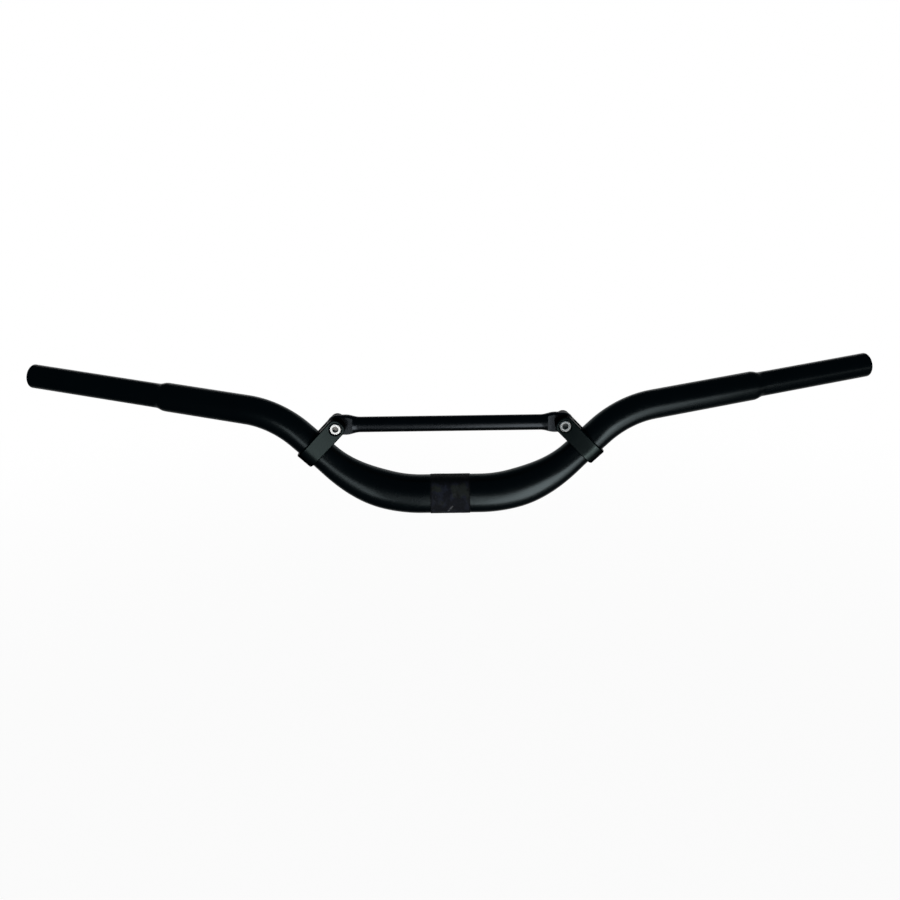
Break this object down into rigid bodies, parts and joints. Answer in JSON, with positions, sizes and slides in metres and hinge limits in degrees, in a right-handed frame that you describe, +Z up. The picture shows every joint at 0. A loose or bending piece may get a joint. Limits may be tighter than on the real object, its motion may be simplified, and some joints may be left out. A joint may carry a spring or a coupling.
{
  "type": "motocross handlebar",
  "caption": "Black tapered motocross handlebar: a thick straight centre, high bends, swept-back grip ends and a round crossbar bolted between two strap clamps",
  "frame": {"origin": "the middle of the straight clamping section, on the tube's axis", "axes": "+X runs along the clamping section to the clutch side, which is the rider's left; +Y points back to the rider; +Z is up. The grips sweep back to +Y and up. The picture looks along +Y from a little above."},
  "size_m": [0.7804, 0.0874, 0.1296],
  "materials": {
    "anodised_tube": "satin black anodising over a fine bead-blasted surface",
    "anodised_machined": "smooth black anodising over machined faces",
    "stainless_bolt": "bright turned stainless steel",
    "zinc_nut": "zinc plate",
    "cloth_tape": "dull woven cloth with creases"
  },
  "bodies": {
    "root": {"handlebar_tube": "anodised_tube", "crossbar": "anodised_machined", "clamp_throttle_side": "anodised_machined", "clamp_clutch_side": "anodised_machined", "bolt_throttle_side": "stainless_bolt", "bolt_clutch_side": "stainless_bolt", "nut_throttle_side": "zinc_nut", "nut_clutch_side": "zinc_nut", "centre_tape": "cloth_tape"}
  },
  "joints": []
}
